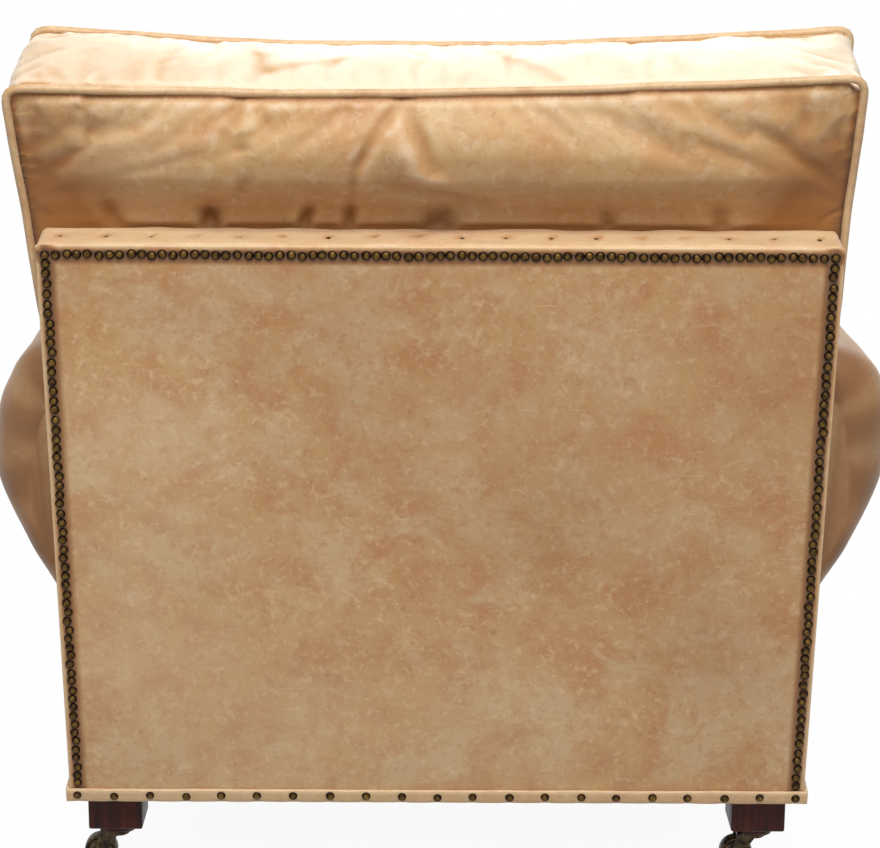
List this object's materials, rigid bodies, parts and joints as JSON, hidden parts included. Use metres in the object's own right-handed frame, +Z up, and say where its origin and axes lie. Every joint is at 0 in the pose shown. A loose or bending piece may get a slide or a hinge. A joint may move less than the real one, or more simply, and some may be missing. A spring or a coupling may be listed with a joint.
{
  "type": "leather armchair",
  "caption": "Scroll-arm leather armchair with a nailed outside back, a loose seat cushion, a loose box back cushion with piping, wooden feet and swivel casters.",
  "frame": {"origin": "on the floor, under the middle of the chair's bounding box", "axes": "+Z up, the chair faces -Y, +X to the sitter's left"},
  "size_m": [0.982, 0.9003, 0.9732],
  "materials": {
    "body_leather": "waxed, slightly distressed",
    "cushion_leather": "waxed, creased",
    "piping_leather": "waxed",
    "antique_brass": "aged",
    "mahogany": "dark polish",
    "caster_bronze": "dark bronze",
    "hardwood": "sawn",
    "jute": "woven",
    "wadding": "soft",
    "dust_cloth": "woven",
    "spring_steel": "plain"
  },
  "bodies": {
    "frame": {"front_seat_rail": "hardwood", "rear_seat_rail": "hardwood", "left_seat_rail": "hardwood", "right_seat_rail": "hardwood", "seat_corner_blocks": "hardwood", "left_back_post": "hardwood", "right_back_post": "hardwood", "back_top_rail": "hardwood", "back_tacking_rail": "hardwood", "left_arm_stump": "hardwood", "right_arm_stump": "hardwood", "left_arm_board": "hardwood", "right_arm_board": "hardwood", "arm_tacking_rails": "hardwood", "seat_webbing": "jute", "seat_springs": "spring_steel", "spring_hessian": "jute", "seat_deck_pad": "wadding", "seat_deck_cover": "body_leather", "back_webbing": "jute", "back_pad": "wadding", "inside_back_cover": "body_leather", "outside_back_panel": "body_leather", "left_arm_padding": "wadding", "right_arm_padding": "wadding", "left_arm_cover": "body_leather", "right_arm_cover": "body_leather", "left_arm_facing": "body_leather", "right_arm_facing": "body_leather", "front_border": "body_leather", "base_strip": "body_leather", "dust_cover": "dust_cloth", "back_top_nails": "antique_brass", "back_side_nails": "antique_brass", "left_facing_nails": "antique_brass", "right_facing_nails": "antique_brass", "base_strip_nails": "antique_brass", "rail_top_tacks": "antique_brass", "rear_feet": "mahogany", "front_feet": "mahogany", "caster_plates": "caster_bronze"},
    "seat_cushion": {"seat_cushion_filling": "wadding", "seat_cushion_cover": "cushion_leather", "seat_cushion_piping": "piping_leather"},
    "back_cushion": {"back_cushion_filling": "wadding", "back_cushion_cover": "cushion_leather", "back_cushion_piping": "piping_leather"},
    "rear_left_fork": {"rear_left_fork": "caster_bronze", "rear_left_axle": "caster_bronze"},
    "rear_left_wheel": {"rear_left_wheel": "caster_bronze"},
    "rear_right_fork": {"rear_right_fork": "caster_bronze", "rear_right_axle": "caster_bronze"},
    "rear_right_wheel": {"rear_right_wheel": "caster_bronze"},
    "front_left_fork": {"front_left_fork": "caster_bronze", "front_left_axle": "caster_bronze"},
    "front_left_wheel": {"front_left_wheel": "caster_bronze"},
    "front_right_fork": {"front_right_fork": "caster_bronze", "front_right_axle": "caster_bronze"},
    "front_right_wheel": {"front_right_wheel": "caster_bronze"}
  },
  "joints": [
    {"name": "seat_cushion_slide", "type": "slide", "parent": "frame", "child": "seat_cushion", "axis": [0, -1, 0], "range_m": [0, 0.3]},
    {"name": "back_cushion_lift", "type": "slide", "parent": "frame", "child": "back_cushion", "axis": [0, 0.1736, 0.9848], "range_m": [0, 0.25]},
    {"name": "rear_left_swivel", "type": "hinge", "parent": "frame", "child": "rear_left_fork", "pos_m": [0.371, 0.28107, 0.045], "axis": [0, 0, 1], "continuous": true},
    {"name": "rear_left_roll", "type": "hinge", "parent": "rear_left_fork", "child": "rear_left_wheel", "pos_m": [0.392, 0.28107, 0.019], "axis": [0, 1, 0], "continuous": true},
    {"name": "rear_right_swivel", "type": "hinge", "parent": "frame", "child": "rear_right_fork", "pos_m": [-0.371, 0.28107, 0.045], "axis": [0, 0, 1], "continuous": true},
    {"name": "rear_right_roll", "type": "hinge", "parent": "rear_right_fork", "child": "rear_right_wheel", "pos_m": [-0.35, 0.28107, 0.019], "axis": [0, 1, 0], "continuous": true},
    {"name": "front_left_swivel", "type": "hinge", "parent": "frame", "child": "front_left_fork", "pos_m": [0.371, -0.3998, 0.045], "axis": [0, 0, 1], "continuous": true},
    {"name": "front_left_roll", "type": "hinge", "parent": "front_left_fork", "child": "front_left_wheel", "pos_m": [0.392, -0.3998, 0.019], "axis": [0, 1, 0], "continuous": true},
    {"name": "front_right_swivel", "type": "hinge", "parent": "frame", "child": "front_right_fork", "pos_m": [-0.371, -0.3998, 0.045], "axis": [0, 0, 1], "continuous": true},
    {"name": "front_right_roll", "type": "hinge", "parent": "front_right_fork", "child": "front_right_wheel", "pos_m": [-0.35, -0.3998, 0.019], "axis": [0, 1, 0], "continuous": true}
  ]
}
